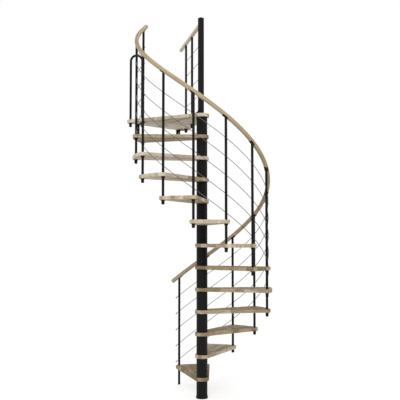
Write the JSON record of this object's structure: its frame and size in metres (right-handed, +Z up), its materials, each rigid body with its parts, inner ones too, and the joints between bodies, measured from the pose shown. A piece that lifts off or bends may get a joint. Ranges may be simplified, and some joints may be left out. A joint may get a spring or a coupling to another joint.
{
  "type": "spiral staircase",
  "caption": "Spiral staircase with wooden winder treads round a steel column, rod balustrade, round wooden handrail and a landing with its own rail.",
  "frame": {"origin": "the column's axis at the floor", "axes": "+Z up along the column, +Y square to the landing's straight edge, out over the upper floor; +X to the right of +Y"},
  "size_m": [1.404, 1.5884, 3.8754],
  "materials": {
    "tread_wood": "satin lacquer",
    "rail_wood": "satin lacquer",
    "black_steel": "black powder coat",
    "rod_steel": "satin",
    "black_plastic": "matt",
    "grey_plastic": "matt"
  },
  "bodies": {
    "root": {"floor_flange": "black_steel", "column_core": "black_steel", "column_sleeves": "black_steel", "tread_01": "tread_wood", "tread_02": "tread_wood", "tread_03": "tread_wood", "tread_04": "tread_wood", "tread_05": "tread_wood", "tread_06": "tread_wood", "tread_07": "tread_wood", "tread_08": "tread_wood", "tread_09": "tread_wood", "tread_10": "tread_wood", "tread_11": "tread_wood", "tread_12": "tread_wood", "landing": "tread_wood", "baluster_00": "black_steel", "baluster_01": "black_steel", "baluster_02": "black_steel", "baluster_03": "black_steel", "baluster_04": "black_steel", "baluster_05": "black_steel", "baluster_06": "black_steel", "baluster_07": "black_steel", "baluster_08": "black_steel", "baluster_09": "black_steel", "baluster_10": "black_steel", "baluster_11": "black_steel", "baluster_12": "black_steel", "baluster_caps": "black_plastic", "baluster_collars": "black_plastic", "stair_rod_1": "rod_steel", "stair_rod_2": "rod_steel", "stair_rod_3": "rod_steel", "stair_rod_4": "rod_steel", "stair_rod_5": "rod_steel", "handrail_1": "rail_wood", "handrail_2": "rail_wood", "handrail_3": "rail_wood", "handrail_4": "rail_wood", "rail_end_caps": "grey_plastic", "newel_post": "black_steel", "landing_balusters": "black_steel", "landing_rail": "rail_wood", "landing_rods": "rod_steel", "bow": "black_steel", "landing_brackets": "black_steel"}
  },
  "joints": []
}
